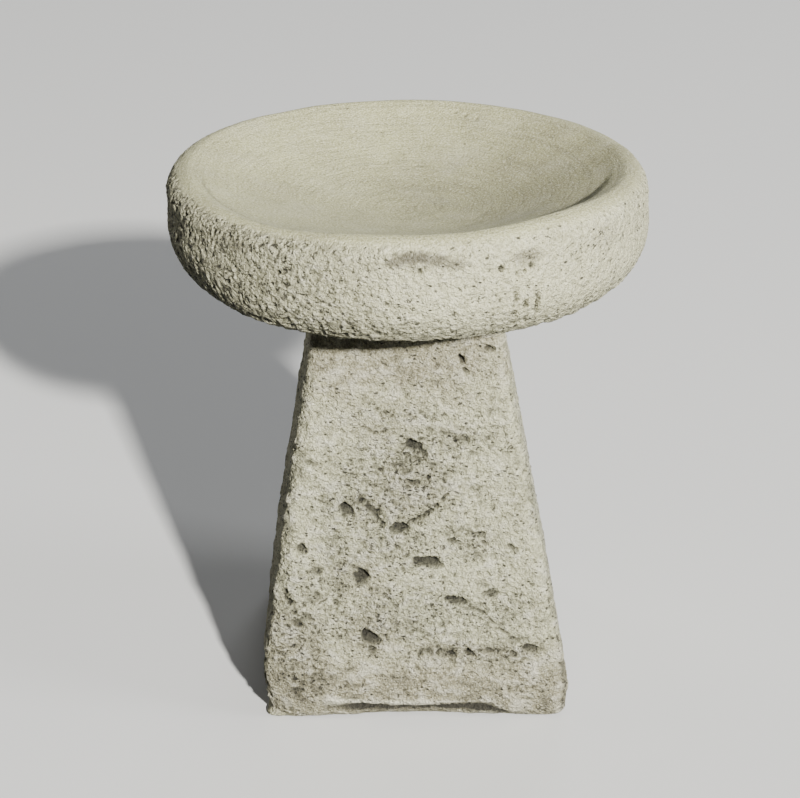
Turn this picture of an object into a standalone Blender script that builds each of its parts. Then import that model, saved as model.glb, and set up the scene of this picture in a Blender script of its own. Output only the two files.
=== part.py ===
"""Two-part cast-stone bird bath: a shallow round bowl that stands loose on a tapered square pedestal.

Frame: metres, +Z up, the origin on the ground under the middle of the pedestal, the front face towards -Y.
The bowl turns on a steel dowel that stands in the pedestal's socket, and lifts straight off it.
"""

from math import cos, pi, radians, sin, sqrt

import bmesh
import bpy

# Driving dimensions
BOWL_DIAMETER = 0.410
BOWL_HEIGHT = 0.090
PEDESTAL_HEIGHT = 0.371
PEDESTAL_BASE = 0.266  # where the lines of the sides would meet the foot; the easing takes 1 mm off it
PEDESTAL_TOP = 0.152
PAD_THICKNESS = 0.003
DOWEL_DIAMETER = 0.016
REST_GAP = 0.0003  # left between two faces that rest on each other

# Bowl: half section, heights above its underside
BOWL_RADIUS = BOWL_DIAMETER / 2
FOOT_RADIUS = BOWL_RADIUS - 0.037  # where the flat underside ends
WALL_FOOT = 0.050  # height of the rounding between the underside and the wall
WALL_LEAN = 0.002  # the wall leans in by this much from its foot to the rim
RIM_ROUND = 0.015
RIM_BAND = 0.012  # from the crest of the rim to the edge of the dish
RIM_DROP = 0.003  # the band falls this much towards the dish
DISH_DEPTH = 0.040  # from the crest to the middle of the dish
BOWL_SEGMENTS = 72

# Pedestal: half widths of its square section
BASE_HALF = PEDESTAL_BASE / 2
TOP_HALF = PEDESTAL_TOP / 2
FOOT_HEIGHT = 0.040  # where the taper would meet the upright foot
FOOT_EASE = 0.025  # the taper eases into the foot from this far above to this far below
FOOT_LEAN = 0.004  # the foot leans in by this much at the ground
CORNER_ROUND = 0.016  # of the four upright edges
EDGE_ROUND = 0.010  # of the bottom edge at a corner
EDGE_ROUND_MIDDLE = 0.018  # of the bottom edge half way along a side
TOP_ROUND = 0.004
TOP_STEPS = 3
CORNER_POINTS = 6
SIDE_POINTS = 5
SIDE_HEIGHTS = (0.028, 0.040, 0.052, 0.065, 0.12, 0.21, 0.30)

# Dowel, its holes, and the pads around it
DOWEL_RADIUS = DOWEL_DIAMETER / 2
DOWEL_LENGTH = 0.070
DOWEL_CHAMFER = 0.0015
HOLE_RADIUS = DOWEL_RADIUS + 0.001
SOCKET_DEPTH = 0.042
BOWL_HOLE_DEPTH = 0.030
PAD_RADIUS = 0.0125
PAD_REACH = 0.050  # a pad's distance from the middle, along X and along Y
ROUND_SEGMENTS = 32
ARC_STEPS = 6

PEDESTAL_Z = PEDESTAL_HEIGHT
BOWL_Z = PEDESTAL_Z + PAD_THICKNESS + 2 * REST_GAP
DOWEL_Z = PEDESTAL_Z - SOCKET_DEPTH + REST_GAP


def clear_scene():
    for obj in list(bpy.data.objects):
        bpy.data.objects.remove(obj)


def make_material(name, colour, roughness, metallic=0.0):
    material = bpy.data.materials.new(name)
    material.use_nodes = True
    shader = material.node_tree.nodes["Principled BSDF"]
    shader.inputs["Base Color"].default_value = (*colour, 1.0)
    shader.inputs["Roughness"].default_value = roughness
    shader.inputs["Metallic"].default_value = metallic
    return material


def add_object(name, mesh, material, location=(0, 0, 0), parent=None):
    """Links the mesh as an object at a place in the world, held by its parent."""
    obj = bpy.data.objects.new(name, mesh)
    bpy.context.scene.collection.objects.link(obj)
    obj.data.materials.append(material)
    obj.location = location
    if parent is not None:
        bpy.context.view_layer.update()
        obj.parent = parent
        obj.matrix_parent_inverse = parent.matrix_world.inverted()
    return obj


def loft(name, rings, smooth_under=radians(35)):
    """A closed mesh through rings of equally many points, with the first and last ring filled."""
    bm = bmesh.new()
    rows = [[bm.verts.new(point) for point in ring] for ring in rings]
    count = len(rows[0])
    for lower, upper in zip(rows, rows[1:]):
        for i in range(count):
            j = (i + 1) % count
            bm.faces.new((lower[i], lower[j], upper[j], upper[i]))
    bm.faces.new(reversed(rows[0]))
    bm.faces.new(rows[-1])
    bmesh.ops.recalc_face_normals(bm, faces=bm.faces)
    mesh = bpy.data.meshes.new(name)
    bm.to_mesh(mesh)
    bm.free()
    mesh.shade_smooth()
    mesh.set_sharp_from_angle(angle=smooth_under)
    return mesh


def circle(radius, height, segments):
    return [
        (radius * cos(2 * pi * i / segments), radius * sin(2 * pi * i / segments), height)
        for i in range(segments)
    ]


def lathe(name, profile, segments):
    """A turned solid. The profile runs from its first flat end to its last, as (radius, height) pairs."""
    return loft(name, [circle(radius, height, segments) for radius, height in profile])


def arc(centre, radii, start, end, steps):
    """Points of an elliptical arc, as (radius, height) pairs, from one angle in degrees to another."""
    points = []
    for step in range(steps + 1):
        angle = radians(start + (end - start) * step / steps)
        points.append((centre[0] + radii[0] * cos(angle), centre[1] + radii[1] * sin(angle)))
    return points


def dish_profile(edge_radius, edge_height, floor_height, steps):
    """The hollow of the bowl, part of a sphere, from near its edge to near its middle."""
    depth = edge_height - floor_height
    sphere = (edge_radius**2 + depth**2) / (2 * depth)
    points = []
    for step in range(1, steps):
        radius = edge_radius * (1 - step / steps)
        points.append((radius, floor_height + sphere - sqrt(sphere**2 - radius**2)))
    return points


def bowl_profile():
    wall_top = BOWL_HEIGHT - RIM_ROUND
    rim_centre = BOWL_RADIUS - WALL_LEAN - RIM_ROUND
    dish_edge = rim_centre - RIM_BAND
    profile = [(HOLE_RADIUS, BOWL_HOLE_DEPTH), (HOLE_RADIUS, 0.0)]
    profile += arc((FOOT_RADIUS, WALL_FOOT), (BOWL_RADIUS - FOOT_RADIUS, WALL_FOOT), -90, 0, 2 * ARC_STEPS)
    profile += arc((rim_centre, wall_top), (RIM_ROUND, RIM_ROUND), 0, 90, ARC_STEPS)
    profile += [(rim_centre - RIM_BAND / 2, BOWL_HEIGHT - RIM_DROP / 3), (dish_edge, BOWL_HEIGHT - RIM_DROP)]
    profile += dish_profile(dish_edge, BOWL_HEIGHT - RIM_DROP, BOWL_HEIGHT - DISH_DEPTH, 2 * ARC_STEPS)
    return profile


def turned(x, y, quarters):
    for _ in range(quarters):
        x, y = -y, x
    return x, y


def square_outline(half):
    """The outline of a square section with round corners, anticlockwise, as (x, y) pairs."""
    straight = half - CORNER_ROUND
    outline = []
    for quarter in range(4):
        for step in range(CORNER_POINTS):
            angle = pi / 2 * step / (CORNER_POINTS - 1)
            x, y = straight + CORNER_ROUND * cos(angle), straight + CORNER_ROUND * sin(angle)
            outline.append(turned(x, y, quarter))
        for step in range(1, SIDE_POINTS + 1):
            x = straight - 2 * straight * step / (SIDE_POINTS + 1)
            outline.append(turned(x, half, quarter))
    return outline


def half_width(height):
    """Half the pedestal's width at a height: the taper, eased into a foot that leans in."""
    ease_start = FOOT_HEIGHT - FOOT_EASE
    if height > FOOT_HEIGHT + FOOT_EASE:
        climbed = height - FOOT_HEIGHT
    else:
        climbed = max(0.0, height - ease_start) ** 2 / (4 * FOOT_EASE)
    taper = (BASE_HALF - TOP_HALF) / (PEDESTAL_HEIGHT - FOOT_HEIGHT)
    lean = FOOT_LEAN * max(0.0, 1 - height / FOOT_HEIGHT) ** 2
    return BASE_HALF - taper * climbed - lean


def edge_rounding(x, y):
    """The radius of the bottom edge, which grows from a corner to the middle of a side."""
    from_corner = 1 - min(abs(x), abs(y)) / BASE_HALF
    return EDGE_ROUND + (EDGE_ROUND_MIDDLE - EDGE_ROUND) * from_corner


def bottom_edge_ring(share):
    """A ring of the rounded bottom edge: share 0 is the flat underside, 1 the top of the rounding."""
    angle = pi / 2 * share
    ring = []
    for x, y in square_outline(BASE_HALF):
        radius = edge_rounding(x, y)
        height = radius * (1 - cos(angle))
        scale = (half_width(height) - radius * (1 - sin(angle))) / BASE_HALF
        ring.append((x * scale, y * scale, height))
    return ring


def top_edge_ring(share):
    """A ring of the rounded top edge: share 0 is the foot of the rounding, 1 the flat top."""
    angle = pi / 2 * share
    height = PEDESTAL_HEIGHT - TOP_ROUND * (1 - sin(angle))
    half = half_width(height) - TOP_ROUND * (1 - cos(angle))
    return [(x, y, height) for x, y in square_outline(half)]


def socket_ring(height):
    """A ring of the socket's wall, each point at the same bearing as one of the outline."""
    ring = []
    for x, y in square_outline(TOP_HALF):
        scale = HOLE_RADIUS / sqrt(x * x + y * y)
        ring.append((x * scale, y * scale, height))
    return ring


def pedestal_rings():
    rings = [bottom_edge_ring(step / ARC_STEPS) for step in range(ARC_STEPS + 1)]
    for height in SIDE_HEIGHTS:
        rings.append([(x, y, height) for x, y in square_outline(half_width(height))])
    rings += [top_edge_ring(step / TOP_STEPS) for step in range(TOP_STEPS + 1)]
    rings += [socket_ring(PEDESTAL_HEIGHT), socket_ring(PEDESTAL_HEIGHT - SOCKET_DEPTH)]
    return rings


def make_pedestal(material):
    return add_object("pedestal", loft("pedestal", pedestal_rings()), material)


def make_pads(material, pedestal):
    """Four flat pads near the corners of the pedestal's top, which carry the bowl."""
    mesh = lathe("setting_pad", [(PAD_RADIUS, 0.0), (PAD_RADIUS, PAD_THICKNESS)], ROUND_SEGMENTS)
    places = [(1, 1), (-1, 1), (-1, -1), (1, -1)]
    for number, (x, y) in enumerate(places, start=1):
        place = (x * PAD_REACH, y * PAD_REACH, PEDESTAL_Z + REST_GAP)
        add_object(f"setting_pad_{number}", mesh.copy(), material, place, pedestal)


def make_dowel(material, pedestal):
    """A round bar with a small chamfer at each end, standing in the socket."""
    profile = [
        (DOWEL_RADIUS - DOWEL_CHAMFER, 0.0),
        (DOWEL_RADIUS, DOWEL_CHAMFER),
        (DOWEL_RADIUS, DOWEL_LENGTH - DOWEL_CHAMFER),
        (DOWEL_RADIUS - DOWEL_CHAMFER, DOWEL_LENGTH),
    ]
    mesh = lathe("locating_dowel", profile, ROUND_SEGMENTS)
    return add_object("locating_dowel", mesh, material, (0, 0, DOWEL_Z), pedestal)


def make_bowl(material, dowel):
    return add_object("bowl", lathe("bowl", bowl_profile(), BOWL_SEGMENTS), material, (0, 0, BOWL_Z), dowel)


def main():
    clear_scene()
    stone = make_material("cast_stone", (0.56, 0.55, 0.47), 0.92)
    steel = make_material("galvanised_steel", (0.55, 0.56, 0.57), 0.45, metallic=1.0)
    rubber = make_material("pad_rubber", (0.04, 0.04, 0.04), 0.8)
    pedestal = make_pedestal(stone)
    make_pads(rubber, pedestal)
    dowel = make_dowel(steel, pedestal)
    make_bowl(stone, dowel)


main()
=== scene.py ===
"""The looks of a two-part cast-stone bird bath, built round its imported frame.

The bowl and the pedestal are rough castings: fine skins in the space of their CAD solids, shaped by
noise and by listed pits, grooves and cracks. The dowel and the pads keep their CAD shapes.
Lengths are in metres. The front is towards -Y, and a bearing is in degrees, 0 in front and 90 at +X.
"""

from itertools import product
from math import ceil, cos, hypot, pi, radians, sin, sqrt

import bpy
import numpy as np
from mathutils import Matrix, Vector


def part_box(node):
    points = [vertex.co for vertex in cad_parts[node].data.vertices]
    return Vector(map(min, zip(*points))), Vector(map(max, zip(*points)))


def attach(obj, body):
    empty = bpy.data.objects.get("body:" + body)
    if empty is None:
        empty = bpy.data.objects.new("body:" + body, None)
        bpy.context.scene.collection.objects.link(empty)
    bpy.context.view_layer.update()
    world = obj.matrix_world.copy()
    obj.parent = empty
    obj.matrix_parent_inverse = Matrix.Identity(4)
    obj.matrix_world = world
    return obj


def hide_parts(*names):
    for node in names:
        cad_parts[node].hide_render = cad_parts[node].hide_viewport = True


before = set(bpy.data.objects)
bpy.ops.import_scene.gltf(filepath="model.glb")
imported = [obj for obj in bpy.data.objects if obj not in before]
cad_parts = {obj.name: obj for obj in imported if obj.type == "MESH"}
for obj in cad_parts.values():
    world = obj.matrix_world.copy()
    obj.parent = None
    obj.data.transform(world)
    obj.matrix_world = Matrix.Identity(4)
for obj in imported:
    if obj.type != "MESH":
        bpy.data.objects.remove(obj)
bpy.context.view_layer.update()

# Sizes that the frame gives
BOWL_LOW, BOWL_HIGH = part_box("bowl")
BOWL_RADIUS = (BOWL_HIGH.x - BOWL_LOW.x) / 2
BOWL_HEIGHT = BOWL_HIGH.z - BOWL_LOW.z
PEDESTAL_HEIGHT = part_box("pedestal")[1].z

# Bowl: half section. It is the CAD's, but for a rounder rim and a fuller rounding under the wall.
FOOT_RADIUS = BOWL_RADIUS - 0.048  # where the flat underside ends
WALL_FOOT = 0.050  # height of the rounding under the wall
WALL_LEAN = 0.002  # from the foot of the wall to the rim
RIM_ROUND = 0.020
RIM_BAND = 0.008  # from the crest of the rim to the edge of the dish
RIM_DROP = 0.003  # of that band, towards the dish
DISH_DEPTH = 0.040  # from the crest of the rim to the middle of the dish
BOWL_HOLE_DEPTH = 0.030
HOLE_RADIUS = 0.009  # of the dowel's holes in both castings
FULLNESS = 2.8  # of the rounding under the wall: 2 is an ellipse, more is nearer to a corner
TROWEL_LINE = 0.172  # radius of the trowel's mark inside the rim, on the left

# Bowl: how far its rim and its underside rise off the level, as (bearing, rise) stops
RIM_WAVE = (
    (-180, 0.0014),
    (-130, 0.0014),
    (-85, -0.0005),
    (-38, -0.0042),
    (0, 0.0),
    (48, 0.0038),
    (85, 0.0010),
    (180, 0.0014),
)
UNDER_WAVE = ((-180, 0), (-90, 0), (-35, -0.0014), (0, 0), (30, 0.0004), (75, 0), (180, 0))

# Bowl: the radius of the sharp edge inside its rim, as (bearing, radius) stops
INNER_EDGE = (
    (-180, 0.179),
    (30, 0.179),
    (42, 0.177),
    (52, 0.173),
    (66, 0.169),
    (90, 0.172),
    (180, 0.179),
)
INNER_EDGE_DROP = 0.0048

# Bowl: how far its lower wall is pared in from the true round, as (bearing, distance) stops
PARED = (
    (-180, 0.002),
    (-120, 0.007),
    (-90, 0.011),
    (-60, 0.007),
    (-35, 0.002),
    (0, 0.0),
    (36, 0.001),
    (60, 0.0055),
    (90, 0.0055),
    (180, 0.002),
)

# Bowl: how rough its wall is, as (bearing, share) stops
WALL_ROUGHNESS = (
    (-180, 0.45),
    (-120, 0.8),
    (-70, 0.9),
    (-42, 0.9),
    (5, 0.0),
    (90, 0.0),
    (150, 0.45),
    (180, 0.45),
)

# Bowl: the wall's texture. A size is across and upright, and a height or a depth is of the relief.
BARK_SIZE = (0.0052, 0.0130)
BARK_HEIGHT = 0.0021
BLOB_SIZE = (0.0072, 0.0060)
BLOB_HEIGHT = 0.0010
STROKE_SIZE = (0.0100, 0.0044)
STROKE_HEIGHT = 0.0022
WALL_PIT_SIZE = (0.0060, 0.0050)
WALL_PIT_DEPTH = 0.0022
WALL_SWELL = 0.0009

# Bowl: stains on its wall, as (bearing, height, half width, half height, strength)
WALL_STAINS = (
    (-3.6, 0.4490, 0.008, 0.0045, 0.8),
    (-1.0, 0.4515, 0.009, 0.0048, 1.0),
    (2.0, 0.4520, 0.010, 0.0044, 1.0),
    (5.5, 0.4500, 0.010, 0.0042, 0.9),
    (9.0, 0.4460, 0.009, 0.0042, 0.7),
    (2.0, 0.4460, 0.022, 0.0060, 0.2),
    (26.0, 0.4450, 0.014, 0.0048, 0.6),
    (-42.0, 0.4480, 0.014, 0.0060, 0.5),
    (50.0, 0.4420, 0.020, 0.0100, 0.2),
)

# Bowl: pores in its wall, as (bearing, height, radius)
WALL_PORES = (
    (1.7, 0.4420, 0.0014),
    (19.7, 0.4389, 0.0018),
    (26.9, 0.4374, 0.0016),
    (25.2, 0.4344, 0.0012),
    (23.5, 0.4329, 0.0012),
    (41.0, 0.4260, 0.0010),
    (-30.0, 0.4330, 0.0016),
)
WALL_PORE_DEPTH = 0.0060

# Bowl: upright cracks in its wall, as (bearing, low end, high end)
WALL_CRACKS = ((23.1, 0.389, 0.422), (25.7, 0.392, 0.415), (28.6, 0.394, 0.418))
WALL_CRACK_DEPTH = 0.0060

# Bowl: patches in its dish, as (x, y, radius, strength): weathering, and in the large ones on the right,
# painted shade where the dish faces away from the light
DISH_STAINS_AND_SHADE = (
    (0.125, 0.010, 0.090, 1.0),
    (0.110, -0.060, 0.070, 1.0),
    (0.060, 0.015, 0.080, 0.75),
    (0.120, 0.100, 0.050, 0.6),
    (0.044, 0.084, 0.010, 0.8),
    (0.082, 0.063, 0.009, 0.8),
    (0.029, 0.038, 0.014, 0.4),
    (0.060, 0.150, 0.018, 0.4),
)

# Bowl: pin holes in its dish, as (x, y, radius)
DISH_PORES = (
    (-0.105, 0.030, 0.0016),
    (-0.105, 0.104, 0.0015),
    (0.012, 0.090, 0.0012),
    (0.056, 0.158, 0.0018),
    (0.066, 0.152, 0.0016),
    (0.047, 0.163, 0.0015),
    (-0.020, 0.140, 0.0014),
)
DISH_PORE_DEPTH = 0.0020
TROWEL_LINE_DEPTH = 0.0010

# Pedestal: half widths and roundings. They are the CAD's, but for tighter corners.
BASE_HALF = 0.133
TOP_HALF = 0.076
FOOT_HEIGHT = 0.040  # where the taper would meet the foot
FOOT_EASE = 0.025  # the taper eases into the foot from this far above to this far below
FOOT_LEAN = 0.004  # the foot leans in by this much at the ground
CORNER_ROUND = 0.013  # of the four upright edges
EDGE_ROUND = 0.007  # of the bottom edge at a corner
EDGE_ROUND_MIDDLE = 0.018  # of the bottom edge half way along a side
TOP_ROUND = 0.004
SOCKET_DEPTH = 0.042
LEAN_X = (0.0053, -0.0017)  # how far the section's middle is off the axis, at the ground and at the top

# Pedestal: its texture. A size is across and upright, and a height or a depth is of the relief.
FLAKE_SIZE = (0.0085, 0.0050)
FLAKE_HEIGHT = 0.0021
LUMP_SIZE = (0.0120, 0.0085)
LUMP_HEIGHT = 0.0009  # where it is rough, on top of the next
SMOOTH_LUMP_HEIGHT = 0.0006
SMALL_PIT_SIZE = (0.0056, 0.0038)
SMALL_PIT_DEPTH = 0.0037
LARGE_PIT_SIZE = (0.0150, 0.0090)
LARGE_PIT_DEPTH = 0.0028
FOOT_LUMP_SIZE = (0.0200, 0.0130)
FOOT_LUMP_HEIGHT = 0.0009
CORNER_LUMP_SIZE = 0.015
CORNER_LUMP_HEIGHT = 0.0015
FACE_SWELL_SIZE = (0.055, 0.075)
FACE_SWELL = 0.0011
FACE_HOLLOW = 0.0012  # how far the faces lie in between the foot and the top
BLUNT_CORNER = 0.0080  # how far the foot's front left corner is worn back

# Pedestal: pits in its front, as (across, height, width, tallness, depth, tilt in degrees)
FRONT_PITS = (
    (0.0045, 0.2465, 0.021, 0.0110, 0.0100, -24),
    (0.0120, 0.2405, 0.009, 0.0060, 0.0055, -60),
    (-0.0540, 0.1925, 0.014, 0.0105, 0.0080, -38),
    (-0.0110, 0.1755, 0.017, 0.0100, 0.0095, 14),
    (-0.0120, 0.1590, 0.007, 0.0055, 0.0040, 0),
    (0.0120, 0.1450, 0.029, 0.0110, 0.0105, -8),
    (-0.0440, 0.1315, 0.015, 0.0155, 0.0105, 85),
    (-0.0375, 0.0785, 0.020, 0.0140, 0.0110, -48),
    (-0.0360, 0.0670, 0.011, 0.0090, 0.0050, -80),
    (-0.0930, 0.1570, 0.011, 0.0085, 0.0065, -35),
    (-0.0830, 0.2320, 0.013, 0.0070, 0.0035, -25),
    (0.0680, 0.3290, 0.011, 0.0055, 0.0060, -15),
    (0.0450, 0.3190, 0.012, 0.0055, 0.0080, -62),
    (0.0480, 0.3105, 0.009, 0.0050, 0.0065, -40),
    (0.0240, 0.3140, 0.007, 0.0045, 0.0035, 50),
    (0.0330, 0.2570, 0.013, 0.0040, 0.0035, -14),
    (0.0190, 0.2600, 0.009, 0.0035, 0.0030, -20),
    (0.0530, 0.2400, 0.012, 0.0040, 0.0035, -8),
    (0.0365, 0.1115, 0.022, 0.0080, 0.0100, -12),
    (0.0665, 0.1165, 0.017, 0.0090, 0.0045, 12),
    (0.0110, 0.0655, 0.015, 0.0080, 0.0045, 0),
    (0.0235, 0.0670, 0.009, 0.0050, 0.0035, -15),
    (0.0330, 0.0630, 0.011, 0.0065, 0.0070, -32),
    (0.0490, 0.0640, 0.013, 0.0060, 0.0060, -32),
    (0.0660, 0.0660, 0.012, 0.0040, 0.0035, -30),
    (0.0860, 0.0630, 0.011, 0.0075, 0.0060, -50),
    (0.1000, 0.0680, 0.015, 0.0085, 0.0070, -8),
    (0.0050, 0.2710, 0.0035, 0.0035, 0.0040, 0),
    (-0.0350, 0.2620, 0.014, 0.0035, 0.0030, -22),
    (-0.0300, 0.2230, 0.011, 0.0040, 0.0035, -12),
    (-0.0150, 0.2310, 0.008, 0.0035, 0.0030, 10),
    (0.0020, 0.2150, 0.014, 0.0045, 0.0035, -30),
    (0.0570, 0.1705, 0.015, 0.0045, 0.0065, 6),
    (0.0350, 0.1640, 0.011, 0.0045, 0.0055, -18),
    (0.0620, 0.1620, 0.007, 0.0045, 0.0045, -60),
    (0.0850, 0.1580, 0.010, 0.0040, 0.0050, -35),
    (-0.0650, 0.1100, 0.008, 0.0050, 0.0035, -40),
    (-0.0680, 0.1500, 0.006, 0.0045, 0.0030, 20),
)

# Pedestal: grooves and cracks in its front, as (points, width, depth)
FRONT_GROOVES = (
    (((-0.042, 0.200), (-0.033, 0.192), (-0.0235, 0.183)), 0.0085, 0.0056),
    (((0.031, 0.205), (0.021, 0.194), (0.010, 0.186), (-0.002, 0.181)), 0.0044, 0.0080),
    (((-0.011, 0.326), (-0.008, 0.309), (-0.005, 0.296), (0.001, 0.279)), 0.0040, 0.0013),
    (((-0.109, 0.121), (-0.1055, 0.112), (-0.101, 0.102)), 0.0055, 0.0080),
    (((0.044, 0.110), (0.061, 0.100), (0.072, 0.088), (0.086, 0.078)), 0.0034, 0.0040),
    (((0.060, 0.118), (0.080, 0.118), (0.093, 0.108)), 0.0028, 0.0022),
    (((-0.012, 0.242), (0.016, 0.234), (0.020, 0.222)), 0.0040, 0.0022),
    (((-0.040, 0.262), (-0.028, 0.258), (-0.012, 0.262)), 0.0030, 0.0024),
)

# Pedestal: patches on its front, as (across, height, half width, half height, strength): weathering, and
# in the first, high up under the bowl, brown staining and painted shade from the bowl
FRONT_STAINS_AND_SHADE = (
    (-0.005, 0.340, 0.120, 0.055, 1.2),
    (-0.008, 0.312, 0.007, 0.026, 1.5),
    (0.000, 0.212, 0.034, 0.032, 0.5),
    (-0.030, 0.262, 0.045, 0.010, 0.4),
    (0.032, 0.256, 0.020, 0.010, 0.3),
    (-0.038, 0.195, 0.020, 0.014, 0.5),
    (-0.100, 0.060, 0.040, 0.055, 0.8),
    (0.055, 0.064, 0.060, 0.012, 0.7),
    (-0.035, 0.082, 0.030, 0.030, 0.7),
    (-0.040, 0.135, 0.028, 0.026, 0.5),
)

# Pedestal: patches of its front that are rough, as (across, height, half width, half height, how rough)
FRONT_ROUGH = (
    (-0.005, 0.220, 0.042, 0.034, 1.0),
    (-0.045, 0.198, 0.028, 0.024, 1.0),
    (0.035, 0.252, 0.026, 0.012, 0.8),
    (-0.062, 0.148, 0.014, 0.042, 0.9),
    (-0.015, 0.160, 0.034, 0.022, 0.8),
    (0.050, 0.160, 0.034, 0.012, 0.5),
    (-0.010, 0.098, 0.050, 0.026, 0.8),
    (0.072, 0.098, 0.030, 0.018, 0.6),
    (-0.100, 0.080, 0.026, 0.060, 0.8),
    (0.050, 0.066, 0.060, 0.008, 0.8),
    (-0.020, 0.272, 0.050, 0.010, 0.4),
)

# Pedestal: the seam of the mould's edge, low on each face, as (across, height) stops
SEAM = (
    (-0.133, 0.0130),
    (-0.060, 0.0130),
    (0.020, 0.0135),
    (0.060, 0.0115),
    (0.085, 0.0060),
    (0.133, 0.0050),
)
SEAM_WIDTH = 0.0064
SEAM_DEPTH = 0.0055
SEAM_REACH = 0.086  # how far it goes to either side of the middle
SEAM_LIP = 0.0013  # how far the edge above it stands proud
OTHER_SEAMS = 0.6  # share of it that the other three faces have

# Pedestal: pale flecks on the seam's lip, as (across, height, half width, half height)
SEAM_FLECKS = (
    (-0.068, 0.0205, 0.009, 0.0026),
    (-0.050, 0.0190, 0.010, 0.0020),
    (-0.014, 0.0190, 0.014, 0.0016),
)

RANDOM_PITS = 13  # in each of the pedestal's other faces

# Fineness of the skins: points in a ring, and the spacing of the rings
BOWL_COLUMNS = 960
WALL_STEP = 0.00135
DISH_STEP = 0.0026
UNDER_STEP = 0.0060
PEDESTAL_COLUMNS = 1040
PEDESTAL_STEP = 0.0010
MOST_TRIANGLES = 196000  # that a skin keeps

# Colours of the stone's marks, and of what the castings share
HOLLOW_SHADE_AND_DUST = (0.022, 0.020, 0.014, 1)
GAP_SHADE_AND_DUST = (0.050, 0.045, 0.030, 1)
DOT_SHADE_AND_DUST = (0.030, 0.027, 0.018, 1)
PIN_HOLE_SHADE_AND_DUST = (0.08, 0.07, 0.04, 1)
DARK_GRAIN = (0.12, 0.11, 0.07, 1)
PALE_GRAIN = (0.88, 0.85, 0.70, 1)
PAINTED_HIGHLIGHT = (0.84, 0.81, 0.66, 1)
STAIN_AND_SHADE = (0.31, 0.275, 0.175, 1)
DISH_CLOUD = (0.36, 0.34, 0.20, 1)
DISH_STAINED_AND_SHADED = (0.23, 0.218, 0.112, 1)
DISH_STREAK = (0.22, 0.21, 0.12, 1)

# Camera and studio
CAMERA_PLACE = (-0.0306, -1.6755, 0.9872)
CAMERA_TARGET = (-0.006, 0, 0.2475)
CAMERA_LENS = 93.63
FLOOR_HALF = 16.0
FLOOR_COLOUR = (0.78, 0.78, 0.77, 1)
SKY_COLOUR = (0.80, 0.84, 0.90, 1)
SKY_STRENGTH = 0.04
LIGHT_TARGET = (0, 0, 0.3)
LIGHT_DISTANCE = 12.0  # far off, so that the floor is lit evenly up to the horizon

# As (name, bearing, elevation, size, power, colour)
LIGHTS = (
    ("key", 21, 25, 0.50, 4000, (1.0, 0.985, 0.94)),
    ("edge", 75, 20, 4.0, 650, (0.96, 0.98, 1.0)),
    ("back", 170, 14, 4.5, 530, (0.93, 0.96, 1.0)),
    ("left", 222, 12, 4.9, 350, (1.0, 0.985, 0.95)),
)

# Noise tables
RANDOM = np.random.default_rng(11)
ORDER = RANDOM.permutation(256)
SLOPES = RANDOM.normal(size=(256, 3))
SLOPES /= np.linalg.norm(SLOPES, axis=1)[:, None]
JITTER = RANDOM.uniform(0.1, 0.9, size=(256, 3))
SIZES = RANDOM.uniform(0.22, 0.55, size=256)


# ------------ numbers over many points

def cell_hash(cells):
    """A number from 0 to 255 for each cell, the same each time."""
    x, y, z = (cells & 255).T
    return ORDER[(ORDER[(ORDER[x] + y) & 255] + z) & 255]


def noise(points):
    """Gradient noise, about -1 to 1, that changes over about one unit."""
    base = np.floor(points).astype(int)
    offset = points - base
    ease = offset**3 * (offset * (offset * 6 - 15) + 10)
    total = np.zeros(len(points))
    for corner in product((0, 1), repeat=3):
        weight = 1
        for axis in range(3):
            weight = weight * (ease[:, axis] if corner[axis] else 1 - ease[:, axis])
        slopes = SLOPES[cell_hash(base + np.array(corner))]
        total += weight * np.einsum("ij,ij->i", slopes, offset - corner)
    return total * 1.6


def layered(points, layers):
    """Noise summed over layers, each half the size and half the height of the last."""
    return sum(noise(points * 2.03**layer + 17 * layer) / 2**layer for layer in range(layers))


def ridged(points, layers):
    """Noise folded into sharp crests, about -0.5 to 0.5."""
    total = 0
    for layer in range(layers):
        total = total + (1 - np.abs(noise(points * 2.1**layer + 31 * layer))) ** 2 / 2**layer
    return total / 2 - 0.5


def scattered_pits(points, share):
    """Depth, 0 to 1, of pits set about a unit apart, of which only this share are there."""
    base = np.floor(points).astype(int)
    deepest = np.zeros(len(points))
    for corner in product((-1, 0, 1), repeat=3):
        cell = base + np.array(corner)
        pick = cell_hash(cell)
        away = np.linalg.norm(points - cell - JITTER[pick], axis=1) / SIZES[pick]
        away[pick >= 256 * share] = 9
        deepest = np.maximum(deepest, np.clip(1.2 * (1 - away**2), 0, 1))
    return deepest


def step(low, high, value):
    """0 at low and before it, 1 at high and beyond, and smooth between."""
    share = np.clip((value - low) / (high - low), 0, 1)
    return share * share * (3 - 2 * share)


def follow(stops, value):
    """The height of a smooth line through (place, height) stops."""
    places, heights = np.array(stops).T
    cell = np.clip(np.searchsorted(places, value) - 1, 0, len(places) - 2)
    share = step(places[cell], places[cell + 1], value)
    return heights[cell] + (heights[cell + 1] - heights[cell]) * share


def sunk(relief):
    """How dark painted shade and dust make a recess, 0 to 1, from its relief."""
    return 1 - np.exp(np.minimum(relief + 0.0002, 0) / 0.0019)


def stretched(points, size):
    """Points scaled so that noise on them has features of this size, across and upright."""
    across, upright = size
    return points / np.array([across, across, upright])


def curled(points, size, reach):
    """Points pushed about by noise, so that shapes drawn there come out irregular."""
    drift = [noise(points / size), noise(points / size + 40), noise(points / size + 80)]
    return points + reach * np.stack(drift, 1)


# ------------ skins

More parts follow.
